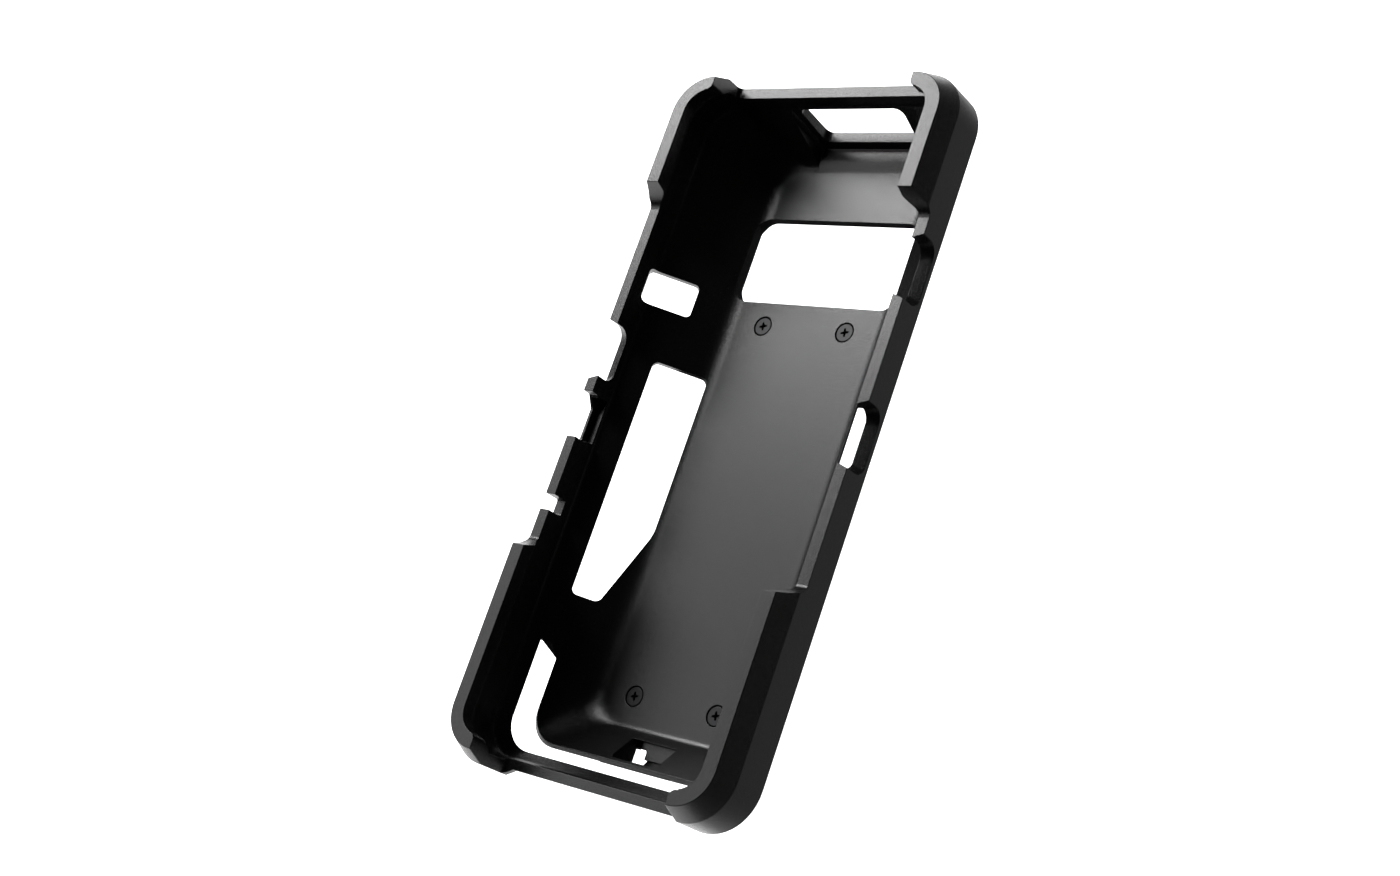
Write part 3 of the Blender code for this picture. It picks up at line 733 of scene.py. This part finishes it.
# ---------------------------------------------------------------- materials
def node(tree, kind, **values):
    made = tree.nodes.new(kind)
    for name, value in values.items():
        if name in made.inputs:
            made.inputs[name].default_value = value
        else:
            setattr(made, name, value)
    return made


def grained(name, colour, roughness, grain_scale, bump_height, metallic=0.0):
    """A procedural surface: a fine grain that lifts the surface and mottles its colour and gloss."""
    material = bpy.data.materials.new(name)
    material.use_nodes = True
    tree = material.node_tree
    shader = tree.nodes["Principled BSDF"]
    shader.inputs["Metallic"].default_value = metallic
    link = tree.links.new
    place = node(tree, "ShaderNodeTexCoord")
    grain = node(tree, "ShaderNodeTexNoise", Scale=grain_scale, Detail=3.0, Roughness=0.6)
    cloud = node(tree, "ShaderNodeTexNoise", Scale=70.0, Detail=2.0)
    link(place.outputs["Object"], grain.inputs["Vector"])
    link(place.outputs["Object"], cloud.inputs["Vector"])
    mottle = node(tree, "ShaderNodeValToRGB")
    for element, position, share in zip(mottle.color_ramp.elements, (0.3, 0.7), (0.7, 1.3)):
        element.position = position
        element.color = (*(value * share for value in colour), 1)
    link(grain.outputs["Fac"], mottle.inputs["Fac"])
    link(mottle.outputs["Color"], shader.inputs["Base Color"])
    gloss = node(tree, "ShaderNodeMapRange")
    gloss.inputs["To Min"].default_value = roughness[0]
    gloss.inputs["To Max"].default_value = roughness[1]
    link(cloud.outputs["Fac"], gloss.inputs["Value"])
    link(gloss.outputs["Result"], shader.inputs["Roughness"])
    bump = node(tree, "ShaderNodeBump", Strength=1.0, Distance=bump_height)
    link(grain.outputs["Fac"], bump.inputs["Height"])
    link(bump.outputs["Normal"], shader.inputs["Normal"])
    return material


# ---------------------------------------------------------------- stage, light, camera
def pale_floor():
    bm = bmesh.new()
    bmesh.ops.create_circle(bm, cap_ends=True, segments=96, radius=6.0)
    floor = new_object("floor", bm)
    material = bpy.data.materials.new("floor_white")
    material.use_nodes = True
    shader = material.node_tree.nodes["Principled BSDF"]
    shader.inputs["Base Color"].default_value = (0.85, 0.85, 0.85, 1)
    shader.inputs["Roughness"].default_value = 0.9
    shader.inputs["Emission Color"].default_value = (1, 1, 1, 1)
    shader.inputs["Emission Strength"].default_value = 0.93
    give(floor, material)
    return floor


def card(name, half_width, half_length, height, material):
    """A flat sheet just above the floor, seen only in reflections."""
    bm = bmesh.new()
    bmesh.ops.create_grid(bm, x_segments=1, y_segments=1, size=1.0)
    bmesh.ops.scale(bm, vec=(half_width, half_length, 1.0), verts=bm.verts)
    sheet = new_object(name, bm)
    sheet.location.z = height
    sheet.visible_camera = False
    sheet.visible_shadow = False
    give(sheet, material)
    return sheet


def painted_floor_glow():
    """Painted light and shadow of a floor lit from the upper left, for reflections only: the glow falls
    from left to right, in the greys of the stops, as the floor passes into the case's shadow and dims
    further out."""
    material = bpy.data.materials.new("painted_floor_glow")
    material.use_nodes = True
    tree = material.node_tree
    tree.nodes.clear()
    place = node(tree, "ShaderNodeTexCoord")
    split = node(tree, "ShaderNodeSeparateXYZ")
    across = node(tree, "ShaderNodeMapRange")
    across.inputs["From Min"].default_value = 0.0
    across.inputs["From Max"].default_value = RAMP_REACH
    ramp = node(tree, "ShaderNodeValToRGB")
    stops = ramp.color_ramp.elements
    stops[0].position = PAINTED_LIGHT_AND_SHADOW_STOPS[0][0] / RAMP_REACH
    stops[1].position = PAINTED_LIGHT_AND_SHADOW_STOPS[-1][0] / RAMP_REACH
    for distance, _ in PAINTED_LIGHT_AND_SHADOW_STOPS[1:-1]:
        stops.new(distance / RAMP_REACH)
    for stop, (_, level) in zip(stops, PAINTED_LIGHT_AND_SHADOW_STOPS):
        stop.color = (level, level, level, 1)
    glow = node(tree, "ShaderNodeEmission", Strength=PAINTED_FLOOR_GLOW_STRENGTH)
    out = node(tree, "ShaderNodeOutputMaterial")
    link = tree.links.new
    link(place.outputs["Object"], split.inputs[0])
    link(split.outputs["X"], across.inputs["Value"])
    link(across.outputs["Result"], ramp.inputs["Fac"])
    link(ramp.outputs["Color"], glow.inputs["Color"])
    link(glow.outputs[0], out.inputs[0])
    return material


def card_dark():
    material = bpy.data.materials.new("card_dark")
    material.use_nodes = True
    shader = material.node_tree.nodes["Principled BSDF"]
    shader.inputs["Base Color"].default_value = (0.03, 0.03, 0.03, 1)
    shader.inputs["Roughness"].default_value = 1.0
    shader.inputs["Specular IOR Level"].default_value = 0.0
    return material


def softbox(name, direction, distance, width, height, power):
    """A rectangular light that faces the middle of the case, its height turned towards +Y."""
    light = bpy.data.lights.new(name, "AREA")
    light.shape = "RECTANGLE"
    light.size = width
    light.size_y = height
    light.energy = power
    obj = bpy.data.objects.new(name, light)
    bpy.context.scene.collection.objects.link(obj)
    away = Vector(direction).normalized()
    up = (Vector((0, 1, 0)) - away * away.y).normalized()
    turn = Matrix((up.cross(away), up, away)).transposed().to_4x4()
    obj.matrix_world = Matrix.Translation(away * distance) @ turn
    return obj


def world():
    made = bpy.data.worlds.new("studio")
    made.use_nodes = True
    tree = made.node_tree
    tree.nodes.clear()
    path = node(tree, "ShaderNodeLightPath")
    dim = node(tree, "ShaderNodeBackground", Color=(1, 1, 1, 1), Strength=0.01)
    bright = node(tree, "ShaderNodeBackground", Color=(1, 1, 1, 1), Strength=1.0)
    mix = node(tree, "ShaderNodeMixShader")
    out = node(tree, "ShaderNodeOutputWorld")
    tree.links.new(path.outputs["Is Camera Ray"], mix.inputs[0])
    tree.links.new(dim.outputs[0], mix.inputs[1])
    tree.links.new(bright.outputs[0], mix.inputs[2])
    tree.links.new(mix.outputs[0], out.inputs[0])
    bpy.context.scene.world = made


def camera():
    """The camera looks down over the case's right side, rolled so that the case stands in view."""
    data = bpy.data.cameras.new("camera")
    data.lens = VIEW_LENS
    data.sensor_width = 36.0
    obj = bpy.data.objects.new("camera", data)
    right = Vector(VIEW_RIGHT).normalized()
    back = Vector(VIEW_BACK).normalized()
    up = back.cross(right).normalized()
    right = up.cross(back)
    turn = Matrix((right, up, back)).transposed().to_4x4()
    obj.matrix_world = Matrix.Translation(VIEW_PLACE) @ turn
    bpy.context.scene.collection.objects.link(obj)
    bpy.context.scene.camera = obj


# ---------------------------------------------------------------- the scene
nylon = grained("nylon_grain", (0.011, 0.011, 0.0115), (0.21, 0.28), 3000.0, 0.00006)
anchor_nylon = grained("anchor_nylon_grain", (0.016, 0.016, 0.017), (0.42, 0.52), 2200.0, 0.00004)
black_steel = grained("black_oxide", (0.02, 0.02, 0.021), (0.28, 0.40), 3800.0, 0.00001, 0.6)
brass = grained("turned_brass", (0.55, 0.38, 0.16), (0.25, 0.38), 3000.0, 0.00001, 1.0)

fine_shell(nylon)
for screw_name, screw_x, screw_y in screw_positions():
    fine_screw(screw_name, screw_x, screw_y, black_steel)
    fine_insert(screw_name, screw_x, screw_y, brass)
fine_anchor("upper", SCREW_ROWS["upper"], -1, anchor_nylon)
fine_anchor("lower", SCREW_ROWS["lower"], 1, anchor_nylon)

pale_floor()
# A glowing sheet that paints the floor's light and the case's shadow into reflections only
card("painted_reflection_card", CARD_REACH, CARD_REACH, 0.0003, painted_floor_glow())
# The second card darkens the floor under the case, as the case's own shadow would
card("shade_card", HALF_WIDTH * MM, HALF_LENGTH * MM, 0.0006, card_dark())
softbox("key", KEY_DIRECTION, distance=1.1, width=0.75, height=0.24, power=8.0)
softbox("fill", FILL_DIRECTION, distance=1.3, width=0.7, height=1.0, power=4.0)
world()
camera()
bpy.context.scene.view_settings.view_transform = "Standard"
